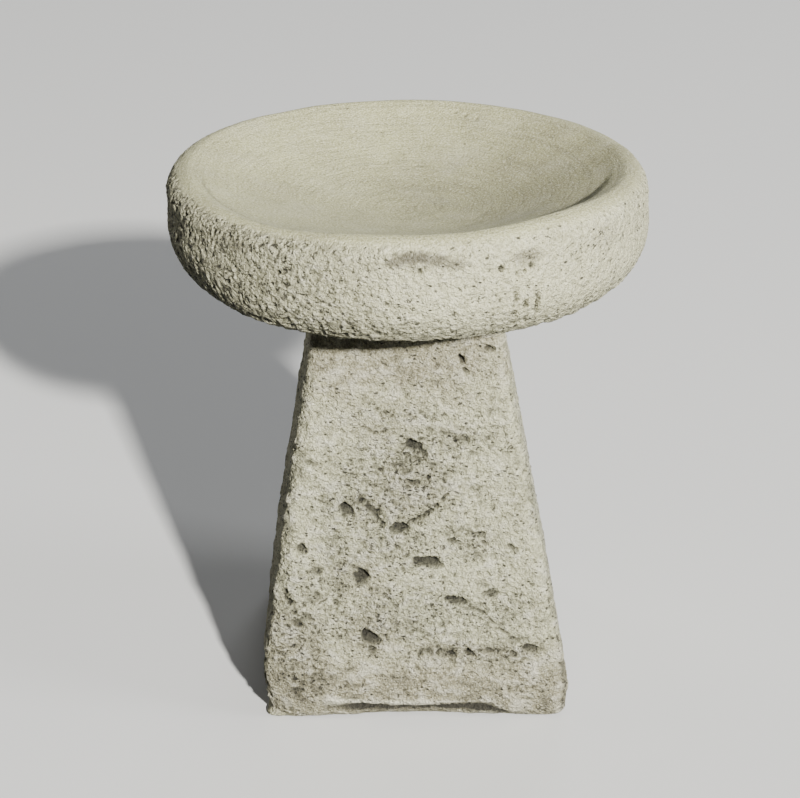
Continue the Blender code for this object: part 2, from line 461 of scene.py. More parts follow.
def ring_faces(first, count, after, after_count):
    """Faces between two rings of points that match, or of which one has twice as many as the other."""
    if count == after_count:
        i = np.arange(count)
        j = (i + 1) % count
        return np.stack([first + i, first + j, after + j, after + i], 1).tolist()
    if count < after_count:
        return [face[::-1] for face in ring_faces(after, after_count, first, count)]
    i = np.arange(after_count)
    j = (i + 1) % after_count
    left, middle, right = first + 2 * i, first + 2 * i + 1, first + (2 * i + 2) % count
    fans = [(left, middle, after + i), (middle, after + j, after + i), (middle, right, after + j)]
    return np.concatenate([np.stack(fan, 1) for fan in fans]).tolist()


def skin(name, rings):
    """A closed smooth mesh through rings of points, with the first and the last ring filled."""
    starts = np.concatenate([[0], np.cumsum([len(ring) for ring in rings])])
    faces = []
    for k in range(len(rings) - 1):
        faces += ring_faces(starts[k], len(rings[k]), starts[k + 1], len(rings[k + 1]))
    faces.append(list(range(len(rings[0])))[::-1])
    faces.append(list(range(starts[-2], starts[-1])))
    mesh = bpy.data.meshes.new(name)
    mesh.from_pydata(np.concatenate(rings), [], faces)
    mesh.shade_smooth()
    return mesh


def read_vertices(mesh, what):
    """The mesh's vertices, or its vertex_normals, as an array."""
    values = np.zeros(len(mesh.vertices) * 3, np.float32)
    getattr(mesh, what).foreach_get("vector" if what == "vertex_normals" else "co", values)
    return values.reshape(-1, 3).astype(float)


def reshape(mesh, points, **numbers):
    """Moves the vertices, and keeps a number of each kind at every vertex for the stone's material."""
    mesh.vertices.foreach_set("co", points.astype(np.float32).ravel())
    for name, values in numbers.items():
        values = np.clip(values, 0, 1).astype(np.float32)
        mesh.attributes.new(name, "FLOAT", "POINT").data.foreach_set("value", values)
    mesh.update()


def thinned(mesh):
    """The mesh with fewer triangles, most of them where it is roughest."""
    mesh.calc_loop_triangles()
    share = MOST_TRIANGLES / len(mesh.loop_triangles)
    if share >= 1:
        return mesh
    holder = bpy.data.objects.new(mesh.name, mesh)
    bpy.context.scene.collection.objects.link(holder)
    holder.modifiers.new("thin", "DECIMATE").ratio = share
    thin = bpy.data.meshes.new_from_object(holder.evaluated_get(bpy.context.evaluated_depsgraph_get()))
    bpy.data.objects.remove(holder)
    thin.name = mesh.name
    thin.shade_smooth()
    return thin


def add_piece(mesh, material, node):
    """Adds the mesh as the visible piece for a stone CAD node, on the body of the same name."""
    piece = bpy.data.objects.new(f"{node}_casting", mesh)
    bpy.context.scene.collection.objects.link(piece)
    mesh.materials.append(material)
    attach(piece, node)
    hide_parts(node)


# ------------ bowl

def straight(start, end, spacing):
    """Points on a straight stretch of a half section, without its start."""
    count = max(1, ceil(hypot(end[0] - start[0], end[1] - start[1]) / spacing))
    shares = [k / count for k in range(1, count + 1)]
    return [(start[0] + (end[0] - start[0]) * s, start[1] + (end[1] - start[1]) * s) for s in shares]


def rounded(centre, radii, start, end, spacing, fullness=2.0):
    """Points on a rounding of a half section, between two angles in degrees, without its start."""
    count = ceil(radians(abs(end - start)) * sqrt((radii[0] ** 2 + radii[1] ** 2) / 2) / spacing)
    points = []
    for k in range(1, count + 1):
        angle = radians(start + (end - start) * k / count)
        scale = (abs(cos(angle)) ** fullness + abs(sin(angle)) ** fullness) ** (-1 / fullness)
        across = centre[0] + radii[0] * cos(angle) * scale
        points.append((across, centre[1] + radii[1] * sin(angle) * scale))
    return points


def dish(edge_radius, edge_height):
    """Points on the dish, from its edge to near its middle."""
    depth = edge_height - (BOWL_HEIGHT - DISH_DEPTH)
    sphere = (edge_radius**2 + depth**2) / (2 * depth)
    count = ceil(edge_radius / DISH_STEP)
    radii = [edge_radius * (1 - k / count) for k in range(1, count)]
    return [(r, edge_height - depth + sphere - sqrt(sphere**2 - r**2)) for r in radii]


def bowl_section():
    """The bowl's half section: out along its underside, up the wall, over the rim and down the dish."""
    rim_centre = BOWL_RADIUS - WALL_LEAN - RIM_ROUND
    band_edge = (rim_centre - RIM_BAND, BOWL_HEIGHT - RIM_DROP)
    wall_top = (BOWL_RADIUS - WALL_LEAN, BOWL_HEIGHT - RIM_ROUND)
    foot_rounding = (BOWL_RADIUS - FOOT_RADIUS, WALL_FOOT)
    points = [(HOLE_RADIUS, BOWL_HOLE_DEPTH), (HOLE_RADIUS, BOWL_HOLE_DEPTH / 2), (HOLE_RADIUS, 0.0)]
    points += straight((HOLE_RADIUS, 0), (FOOT_RADIUS, 0), UNDER_STEP)
    points += rounded((FOOT_RADIUS, WALL_FOOT), foot_rounding, -90, 0, WALL_STEP, FULLNESS)
    points += straight((BOWL_RADIUS, WALL_FOOT), wall_top, WALL_STEP)
    points += rounded((rim_centre, BOWL_HEIGHT - RIM_ROUND), (RIM_ROUND, RIM_ROUND), 0, 90, WALL_STEP)
    points += straight((rim_centre, BOWL_HEIGHT), band_edge, DISH_STEP)
    points += dish(*band_edge)
    return points


def bowl_columns(radius, height):
    """How many points a ring of the bowl has: most on the wall, and fewest in the middle."""
    if height > BOWL_HEIGHT - RIM_DROP or radius >= FOOT_RADIUS:
        return BOWL_COLUMNS
    halvings = 1 + (radius < 0.110) + (radius < 0.055) + (radius < 0.028)
    return BOWL_COLUMNS // 2**halvings


def bowl_skin():
    rings = []
    for radius, height in bowl_section():
        angle = np.linspace(0, 2 * pi, bowl_columns(radius, height), endpoint=False)
        level = 0 * angle + BOWL_LOW.z + height
        rings.append(np.stack([radius * np.cos(angle), radius * np.sin(angle), level], 1))
    return skin("bowl_casting", rings)


def wall_marks(bearing, height):
    """The depth of the cracks and pores in the wall, and the strength of its stains, 0 to 1."""
    depth, stain = np.zeros((2, len(bearing)))
    degree = radians(1) * BOWL_RADIUS  # the length of a degree round the wall
    fray = noise(np.stack([bearing * 1.1, height / 0.0022, 0 * height], 1))
    for at, low, high in WALL_CRACKS:
        away = np.abs(bearing - at + 0.45 * fray) * degree
        along = step(low, low + 0.003, height) * step(high, high - 0.003, height)
        beads = np.stack([0 * bearing + at, height / 0.0030, bearing * 0.4], 1)
        along *= step(-0.20, 0.10, noise(beads))
        depth = np.maximum(depth, WALL_CRACK_DEPTH * step(0.0023, 0.0008, away) * along)
    for at, level, radius in WALL_PORES:
        away = np.hypot((bearing - at) * degree, height - level)
        depth = np.maximum(depth, WALL_PORE_DEPTH * step(radius * 1.6, radius * 0.7, away))
    for at, level, half_width, half_height, strength in WALL_STAINS:
        away = np.hypot((bearing - at) * degree / half_width, (height - level) / half_height)
        stain = np.maximum(stain, strength * step(1.5, 0.4, away + 0.50 * fray))
    return depth, stain


def dish_marks(smooth):
    """The depth of the pin holes in the dish, and the strength of its weathering and painted shade, 0 to
    1.
    """
    depth, stain = np.zeros((2, len(smooth)))
    ragged = 0.35 * layered(smooth / 0.025 + 11, 3)
    for x, y, radius, strength in DISH_STAINS_AND_SHADE:
        away = np.hypot(smooth[:, 0] - x, smooth[:, 1] - y) / radius
        stain = np.maximum(stain, strength * step(1.5, 0.1, away + ragged))
    for x, y, radius in DISH_PORES:
        away = np.hypot(smooth[:, 0] - x, smooth[:, 1] - y)
        depth = np.maximum(depth, DISH_PORE_DEPTH * step(radius * 1.4, radius * 0.4, away))
    return depth, stain


def wall_places(normal, radius, height, bearing):
    """Where the wall is and how rough it is there, both 0 to 1. The rim and the dish are trowelled."""
    under = normal[:, 2] < 0
    leftness = follow(WALL_ROUGHNESS, bearing)
    below_rim = step(0.97 + 0.028 * leftness, 0.55 + 0.2 * leftness, normal[:, 2])
    outside = np.where(under, 1.0, below_rim)
    outside *= step(BOWL_RADIUS - 0.035, BOWL_RADIUS - 0.015, radius + np.where(under, 1, 0))
    low = step(0.035, 0.012, height)
    return outside, outside * np.clip(0.30 + 0.70 * leftness + 0.35 * low, 0, 1)


def wall_texture(smooth, height, bearing):
    """The relief of a rough wall: streaks like bark on the left, and blobs and flat strokes elsewhere."""
    warped = curled(smooth, 0.012, 0.0040)
    bark = ridged(stretched(warped, BARK_SIZE), 2)
    blobs = layered(stretched(warped, BLOB_SIZE), 3)
    strokes = ridged(stretched(warped, STROKE_SIZE), 2)
    pits = scattered_pits(stretched(warped, WALL_PIT_SIZE), 0.45)
    barky = step(-18, -45, bearing) * step(-150, -110, bearing)
    low = step(0.035, 0.012, height)
    texture = barky * BARK_HEIGHT * bark
    texture += (1 - barky) * (BLOB_HEIGHT * blobs + (0.5 + 0.5 * low) * STROKE_HEIGHT * strokes)
    return 1.2 * texture + 0.0005 * blobs - WALL_PIT_DEPTH * pits


def trowel_line(smooth, radius, bearing):
    """The strength, 0 to 1, of the thin line that a trowel left inside the rim, on the left."""
    away = np.abs(radius - TROWEL_LINE - 0.0012 * noise(smooth / 0.02))
    return step(0.0026, 0.0004, away) * step(-88, -72, bearing) * step(-38, -54, bearing)


def shape_bowl(mesh):
    smooth = read_vertices(mesh, "vertices")
    normal = read_vertices(mesh, "vertex_normals")
    radius = np.hypot(smooth[:, 0], smooth[:, 1])
    height = smooth[:, 2] - BOWL_LOW.z
    bearing = np.degrees(np.arctan2(smooth[:, 0], -smooth[:, 1]))

    # Relief along the normal: the wall's texture and marks, and the trowelled dish with its pin holes
    outside, rough = wall_places(normal, radius, height, bearing)
    marks, stain = wall_marks(bearing, smooth[:, 2])
    dish_pores, dish_stain_and_shade = dish_marks(smooth)
    in_dish = step(BOWL_RADIUS - 0.015, BOWL_RADIUS - 0.022, radius) * step(0.2, 0.8, normal[:, 2])
    drag = trowel_line(smooth, radius, bearing)
    in_dish_relief = 0.0003 * layered(smooth / 0.03, 2) - dish_pores - TROWEL_LINE_DEPTH * drag
    relief = rough * wall_texture(smooth, height, bearing) - marks * outside + in_dish * in_dish_relief
    swell = WALL_SWELL * layered(smooth / 0.07, 2)

    # The flat underside round the dowel keeps its shape, because it stands on the pads
    free = step(0.110, 0.140, radius)
    moved = smooth + normal * ((relief + swell) * np.where(in_dish > 0.5, 1, free))[:, None]

    # Hand work: a wavy rim and underside, a sharp edge inside the rim, and a lower wall that is pared in
    moved[:, 2] += follow(RIM_WAVE, bearing) * step(0.045, 0.085, height) * step(0.09, 0.165, radius)
    moved[:, 2] += follow(UNDER_WAVE, bearing) * step(0.030, 0.005, height) * free
    beyond = radius - follow(INNER_EDGE, bearing)
    edge = step(0.0, -0.005, beyond) * step(-0.048, -0.007, beyond)
    edge *= step(-15, 32, bearing) * step(105, 54, bearing) * in_dish
    moved[:, 2] -= INNER_EDGE_DROP * edge
    # Painted shadow: a band of dark colour just inside the sharp edge, on the front right
    shade = edge * step(-0.014, -0.005, beyond) * step(5, 28, bearing) * step(78, 56, bearing)
    pared = follow(PARED, bearing) * (0.3 * step(0.085, 0.050, height) + 0.7 * step(0.045, 0.0, height))
    moved[:, :2] *= (1 - pared * outside * free / np.maximum(radius, 0.1))[:, None]
    reshape(
        mesh,
        moved,
        # painted shade and dust in recesses, with the wall's stains and the painted shadow by the sharp
        # inner edge
        hollow=np.maximum(sunk(relief), 0.65 * stain * outside + 0.9 * shade),
        # painted highlight on raised relief
        crest=relief / 0.0012,
        roughcast=0.15 + 0.85 * rough,
        trowelled=1 - outside,
        # stain: the wall's stains, and in the dish its weathering, painted shade on its right side, and
        # the trowel's line
        stain=stain * outside + (dish_stain_and_shade + 0.5 * drag) * (1 - outside),
    )


# ------------ pedestal

def half_width(height):
    """Half the pedestal's width at a height: the taper, eased into a foot that leans in."""
    if height > FOOT_HEIGHT + FOOT_EASE:
        climbed = height - FOOT_HEIGHT
    else:
        climbed = max(0.0, height - FOOT_HEIGHT + FOOT_EASE) ** 2 / (4 * FOOT_EASE)
    taper = (BASE_HALF - TOP_HALF) / (PEDESTAL_HEIGHT - FOOT_HEIGHT)
    lean = FOOT_LEAN * max(0.0, 1 - height / FOOT_HEIGHT) ** 2
    return BASE_HALF - taper * climbed - lean


def square_outline(half, corner, columns):
    """Evenly spaced points round a square with round corners, as x and y arrays."""
    side, arc = 2 * (half - corner), pi / 2 * corner
    along = np.linspace(0, 4 * (side + arc), columns, endpoint=False)
    quarter, rest = np.divmod(along, side + arc)
    angle = np.clip((rest - side) / corner, 0, pi / 2)
    x = half - corner + corner * np.cos(angle)
    y = np.minimum(rest, side) - side / 2 + corner * np.sin(angle)
    turn = quarter * pi / 2
    return x * np.cos(turn) - y * np.sin(turn), x * np.sin(turn) + y * np.cos(turn)


def foot_rings():
    """Rings up the rounding of the bottom edge, which is tighter at the corners than between them."""
    x, y = square_outline(BASE_HALF, CORNER_ROUND, PEDESTAL_COLUMNS)
    corner_share = np.minimum(np.abs(x), np.abs(y)) / BASE_HALF
    rounding = EDGE_ROUND_MIDDLE + (EDGE_ROUND - EDGE_ROUND_MIDDLE) * corner_share
    steps = ceil(pi / 2 * EDGE_ROUND_MIDDLE / PEDESTAL_STEP)
    rings = []
    for k in range(steps + 1):
        angle = pi / 2 * k / steps
        height = rounding * (1 - cos(angle))
        half = np.array([half_width(h) for h in height]) - rounding * (1 - sin(angle))
        rings.append(np.stack([x * half / BASE_HALF, y * half / BASE_HALF, height], 1))
    return rings


def pedestal_skin():
    """The pedestal's skin: underside, rounded foot, sides, rounded top edge, top and socket."""
    rings = []

    def add(half, height, corner, columns=PEDESTAL_COLUMNS):
        x, y = square_outline(half, corner, columns)
        rings.append(np.stack([x, y, 0 * x + height], 1))

    flat = half_width(0) - EDGE_ROUND_MIDDLE
    for halvings, share in ((4, 0.25), (3, 0.50), (2, 0.75), (1, 0.97)):
        add(flat * share, 0.0, CORNER_ROUND * share, PEDESTAL_COLUMNS // 2**halvings)
    rings += foot_rings()
    side = PEDESTAL_HEIGHT - TOP_ROUND - EDGE_ROUND_MIDDLE
    rows = ceil(side / PEDESTAL_STEP)
    for k in range(1, rows + 1):
        height = EDGE_ROUND_MIDDLE + side * k / rows
        add(half_width(height), height, CORNER_ROUND)
    for angle in (pi / 6, pi / 3, pi / 2):
        height = PEDESTAL_HEIGHT - TOP_ROUND * (1 - sin(angle))
        add(half_width(height) - TOP_ROUND * (1 - cos(angle)), height, CORNER_ROUND)
    top = half_width(PEDESTAL_HEIGHT) - TOP_ROUND
    for halvings, share in ((0, 0.97), (1, 0.85), (1, 0.72), (2, 0.55), (3, 0.38), (4, 0.22)):
        add(top * share, PEDESTAL_HEIGHT, CORNER_ROUND * share, PEDESTAL_COLUMNS // 2**halvings)
    for depth in (0, 0.003, 0.02, SOCKET_DEPTH):
        add(HOLE_RADIUS, PEDESTAL_HEIGHT - depth, HOLE_RADIUS * 0.999, PEDESTAL_COLUMNS // 16)
    return skin("pedestal_casting", rings)


def pit_depth(across, height, fray, pit):
    """The depth of one pit, deepest near its top, with frayed edges."""
    at, level, width, tallness, depth, tilt = pit
    found = np.zeros(len(across))
    near = np.flatnonzero(np.hypot(across - at, height - level) < max(width, tallness))
    right, up = across[near] - at, height[near] - level
    along = (right * cos(radians(tilt)) + up * sin(radians(tilt))) / (width / 2)
    over = (up * cos(radians(tilt)) - right * sin(radians(tilt))) / (tallness / 2)
    away = np.hypot(along, over) + 0.34 * fray[near]
    upper = 0.60 + 0.45 * np.clip(up / (tallness / 2), -1, 1)
    found[near] = depth * step(0, 0.9, 1.15 - away**2) * upper
    return found


def groove_depth(across, height, fray, groove):
    """The depth of one groove, along straight runs between its points, broken here and there."""
    points, width, depth = groove
    found = np.zeros(len(across))
    for (x0, z0), (x1, z1) in zip(points, points[1:]):
        reach = hypot(x1 - x0, z1 - z0)
        from_middle = np.hypot(across - (x0 + x1) / 2, height - (z0 + z1) / 2)
        near = np.flatnonzero(from_middle < reach / 2 + width)
        right, up = across[near] - x0, height[near] - z0
        share = np.clip((right * (x1 - x0) + up * (z1 - z0)) / reach**2, 0, 1)
        away = np.hypot(right - share * (x1 - x0), up - share * (z1 - z0)) / (width / 2)
        run = depth * step(1.2, 0.3, away + 0.4 * fray[near]) * step(-0.50, 0.40, fray[near])
        found[near] = np.maximum(found[near], run)
    return found


def random_pits(count):
    """Pits for a face that has no listed ones."""
    pits = []
    for _ in range(count):
        height = RANDOM.uniform(0.05, 0.33)
        at = RANDOM.uniform(-0.8, 0.8) * half_width(height)
        width = RANDOM.uniform(0.006, 0.016)
        tallness = width * RANDOM.uniform(0.4, 0.8)
        pits.append((at, height, width, tallness, width * 0.4, RANDOM.uniform(-50, 20)))
    return pits


def seam_profile(across, height, ragged):
    """The seam near the ground: its line, the small lip above the line, and the dark band along it, dust
    and painted shade under the lip, 0 to about 1.
    """
    above = height - follow(SEAM, across) - 0.0004 * ragged
    reach = step(SEAM_REACH, SEAM_REACH - 0.030, np.abs(across))
    line = step(SEAM_WIDTH / 2, 0.0010, np.abs(above)) * reach
    lip = step(0.0010, 0.0035, above) * step(0.0090, 0.0045, above) * reach
    # Dust, and painted shade under the lip
    dust = step(0.0030, 0.0014, np.abs(above + 0.0008))
    dust += 0.40 * step(SEAM_WIDTH * 0.9, 0.001, np.abs(above))
    return line, lip, dust * step(SEAM_REACH, SEAM_REACH - 0.012, across) * step(-0.082, -0.045, across)


def face_marks(smooth, normal, fray):
    """The relief of the pits, the grooves and the seam in the four faces, and the dust and painted shade
    in the seam.
    """
    depth, line, lip, dust = np.zeros((4, len(smooth)))
    faces = [(FRONT_PITS, FRONT_GROOVES)] + [(random_pits(RANDOM_PITS), ()) for _ in range(3)]
    for quarter, (pits, grooves) in enumerate(faces):
        turn = quarter * pi / 2
        out = np.array([sin(turn), -cos(turn), 0])
        right = np.array([cos(turn), sin(turn), 0])
        here = np.flatnonzero(normal @ out > 0.35)
        across, height, ragged = smooth[here] @ right, smooth[here, 2], fray[here]
        for pit in pits:
            depth[here] = np.maximum(depth[here], pit_depth(across, height, ragged, pit))
        for groove in grooves:
            depth[here] = np.maximum(depth[here], groove_depth(across, height, ragged, groove))
        share = 1.0 if quarter == 0 else OTHER_SEAMS
        seam = seam_profile(across, height, ragged)
        line[here], lip[here], dust[here] = (share * part for part in seam)
    return SEAM_LIP * lip - np.maximum(depth, SEAM_DEPTH * line), dust


def pedestal_stain_and_shade(points):
    """How dark the stain is, 0 to 1: in listed patches in front, of which the one under the bowl is
    staining and painted shade, and darker low down all round.
    """
    ragged = 0.35 * layered(points / 0.02 + 7, 3)
    stain = step(0.090, 0.035, points[:, 2] + 0.02 * ragged)
    for at, level, wide, tall, strength in FRONT_STAINS_AND_SHADE:
        away = np.hypot((points[:, 0] - at) / wide, (points[:, 2] - level) / tall)
        stain = np.maximum(stain, strength * step(1.4, 0.3, away + ragged) * (points[:, 1] < 0))
    return stain


def seam_flecks(points):
    """The pale flecks on the seam's lip in front, 0 to 1."""
    fleck = np.zeros(len(points))
    ragged = 0.5 * noise(points / 0.004)
    for at, level, wide, tall in SEAM_FLECKS:
        away = np.hypot((points[:, 0] - at) / wide, (points[:, 2] - level) / tall)
        fleck = np.maximum(fleck, step(1.5, 0.5, away + ragged) * (points[:, 1] < 0))
    return fleck


def roughness(points):
    """How rough the stone is, 0 to 1: by listed patches in front, and by chance elsewhere."""
    ragged = 0.35 * layered(points / 0.02 + 23, 3)
    front = np.zeros(len(points))
    for at, level, wide, tall, how in FRONT_ROUGH:
        away = np.hypot((points[:, 0] - at) / wide, (points[:, 2] - level) / tall)
        front = np.maximum(front, how * step(1.6, 0.3, away + ragged))
    elsewhere = 0.7 * step(-0.50, 0.50, layered(points / 0.045 + 5, 3))
    elsewhere *= step(0.320, 0.270, points[:, 2])
    return np.where(points[:, 1] < -np.abs(points[:, 0]), front, elsewhere)


def side_texture(smooth, normal, side, rough):
    """The relief of the sides: flakes, lumps and pits where it is rough, and a lumpy foot and corners."""
    height = smooth[:, 2]
    warped = curled(smooth, 0.010, 0.0022)
    flakes = ridged(stretched(warped, FLAKE_SIZE), 3)
    lumps = layered(stretched(warped, LUMP_SIZE), 4)
    small_pits = scattered_pits(stretched(warped, SMALL_PIT_SIZE), 0.45)
    large_pits = scattered_pits(stretched(warped, LARGE_PIT_SIZE) + 9, 0.14)
    raised = FLAKE_HEIGHT * flakes + LUMP_HEIGHT * lumps
    relief = rough * (raised - SMALL_PIT_DEPTH * small_pits - LARGE_PIT_DEPTH * large_pits)
    relief += side * SMOOTH_LUMP_HEIGHT * lumps
    foot_lumps = layered(stretched(smooth, FOOT_LUMP_SIZE) + 3, 2)
    relief += side * step(0.120, 0.040, height) * FOOT_LUMP_HEIGHT * foot_lumps

    # The corners are lumpy too, most of all the left one in front
    corner = step(0.10, 0.35, np.minimum(np.abs(normal[:, 0]), np.abs(normal[:, 1])))
    left_front = 0.15 + 0.85 * step(0.02, -0.05, smooth[:, 0]) * step(0.02, -0.05, smooth[:, 1])
    knobbly = corner * left_front * side * step(0.32, 0.24, height)
    return relief + knobbly * CORNER_LUMP_HEIGHT * layered(smooth / CORNER_LUMP_SIZE + 3, 2)


def shape_pedestal(mesh):
    smooth = read_vertices(mesh, "vertices")
    normal = read_vertices(mesh, "vertex_normals")
    height = smooth[:, 2]
    side = step(0.3, 0.8, np.hypot(normal[:, 0], normal[:, 1]))
    side *= step(PEDESTAL_HEIGHT - 0.001, PEDESTAL_HEIGHT - 0.005, height)
    least = 0.30 + 0.10 * step(0.300, 0.250, height)
    rough = side * (least + (1 - least) * roughness(smooth))

    # Relief along the normal. The top and the underside stay flat, because they carry weight.
    # The seam's dark band is dust and painted shade under its lip
    marks, dust = face_marks(smooth, normal, layered(smooth / 0.0055, 2))
    relief = side_texture(smooth, normal, side, rough) + side * marks
    swell = FACE_SWELL * layered(stretched(smooth, FACE_SWELL_SIZE), 2)
    swell -= FACE_HOLLOW * step(0.02, 0.06, height) * step(0.36, 0.31, height)
    worn = step(0.100, 0.135, -smooth[:, 0]) * step(0.060, 0.120, -smooth[:, 1])
    worn *= step(0.060, 0.0, height)
    moved = smooth + normal * (relief + side * (swell - BLUNT_CORNER * worn))[:, None]
    moved[:, 0] += np.interp(height, [0, PEDESTAL_HEIGHT], LEAN_X) * side
    fleck = seam_flecks(smooth)
    reshape(
        mesh,
        moved,
        # painted shade and dust in recesses, and the seam's dust and painted shade under its lip
        hollow=np.maximum(sunk(relief), dust) * (1 - fleck),
        # painted highlight on raised relief, and the pale flecks on the seam's lip
        crest=np.maximum(relief / 0.0010, fleck),
        roughcast=0.25 + 0.75 * rough,
        trowelled=0 * height,
        # stain: stains, darker low down all round, and painted shade under the bowl in front
        stain=pedestal_stain_and_shade(smooth) * side * (1 - fleck),
    )


# ------------ materials

class Nodes:
    """Short ways to add and join a material's nodes."""

    def __init__(self, name):
        self.material = bpy.data.materials.new(name)
        self.material.use_nodes = True
        self.tree = self.material.node_tree
        self.shader = self.tree.nodes["Principled BSDF"]

    def add(self, kind, inputs, **settings):
        """Adds a node, and sets or links its inputs."""
        node = self.tree.nodes.new(kind)
        for key, value in settings.items():
            setattr(node, key, value)
        for key, value in inputs.items():
            if isinstance(value, bpy.types.NodeSocket):
                self.tree.links.new(value, node.inputs[key])
            else:
                node.inputs[key].default_value = value
        return node

    def place(self, scale=(1, 1, 1)):
        """The place on the piece in metres, scaled."""
        at = self.add("ShaderNodeTexCoord", {}).outputs["Object"]
        return self.add("ShaderNodeVectorMath", {0: at, 1: scale}, operation="MULTIPLY").outputs[0]

    def noise(self, place, size, detail=4.0, roughness=0.6):
        """Noise, about 0.3 to 0.7, whose largest features have this size in metres."""
        inputs = {"Vector": place, "Scale": 1 / size, "Detail": detail, "Roughness": roughness}
        return self.add("ShaderNodeTexNoise", inputs).outputs["Fac"]

    def warped(self, place, size, amount):
        """The place, pushed about by noise so that shapes drawn there come out irregular."""
        drift = self.add("ShaderNodeTexNoise", {"Vector": place, "Scale": 1 / size}).outputs["Color"]
        inputs = {0: drift, 1: (amount, amount, amount), 2: place}
        return self.add("ShaderNodeVectorMath", inputs, operation="MULTIPLY_ADD").outputs[0]

    def cells(self, place, size):
        """The distance to the nearest of many scattered points, 0 to about 0.8."""
        return self.add("ShaderNodeTexVoronoi", {"Vector": place, "Scale": 1 / size}).outputs["Distance"]

    def holes(self, place, size, radius, share):
        """Holes, 0 to 1 deep, at a share of scattered points. The radius is in parts of their spacing."""
        points = self.add("ShaderNodeTexVoronoi", {"Vector": place, "Scale": 1 / size})
        pick = self.add("ShaderNodeSeparateColor", {"Color": points.outputs["Color"]})
        reach = self.ramp(pick.outputs["Green"], 0, 1, radius * 0.5, radius)
        edge = self.compute("DIVIDE", points.outputs["Distance"], reach)
        spare = self.compute("SUBTRACT", share, pick.outputs["Red"])
        return self.times(self.ramp(edge, 1.0, 0.65), self.ramp(spare, 0, 0.04))

    def rings(self, place, size):
        """Noise that changes away from the axis and hardly round it, like a turning trowel's marks."""
        kind = "ShaderNodeVectorMath"
        flat = self.add(kind, {0: place, 1: (1, 1, 0)}, operation="MULTIPLY").outputs[0]
        radius = self.add(kind, {0: flat}, operation="LENGTH").outputs["Value"]
        drift = self.times(self.noise(place, 0.040, 2), 0.020)
        at = self.add("ShaderNodeCombineXYZ", {"X": radius, "Y": drift}).outputs[0]
        return self.noise(at, size, 3)

    def ramp(self, value, low, high, to_low=0.0, to_high=1.0):
        """The value, taken from low to high onto to_low to to_high, and held at both ends."""
        inputs = {"Value": value, "From Min": low, "From Max": high, "To Min": to_low, "To Max": to_high}
        return self.add("ShaderNodeMapRange", inputs).outputs["Result"]

    def compute(self, operation, first, second):
        return self.add("ShaderNodeMath", {0: first, 1: second}, operation=operation).outputs[0]

    def times(self, first, second):
        return self.compute("MULTIPLY", first, second)

    def plus(self, first, second):
        return self.compute("ADD", first, second)

    def mix(self, factor, first, second):
        """A colour between two: the first at factor 0, and the second at 1."""
        return self.add("ShaderNodeMix", {0: factor, 6: first, 7: second}, data_type="RGBA").outputs[2]

    def attribute(self, name):
        return self.add("ShaderNodeAttribute", {}, attribute_name=name).outputs["Fac"]

    def bump(self, height):
        """A normal from a height in metres."""
        inputs = {"Height": height, "Distance": 1.0, "Strength": 1.0}
        return self.add("ShaderNodeBump", inputs).outputs["Normal"]

    def finish(self, **inputs):
        """Sets or links the shader's sockets, and returns the material."""
        for key, value in inputs.items():
            socket = self.shader.inputs[key.replace("_", " ")]
            if isinstance(value, bpy.types.NodeSocket):
                self.tree.links.new(value, socket)
            else:
                socket.default_value = value
        return self.material


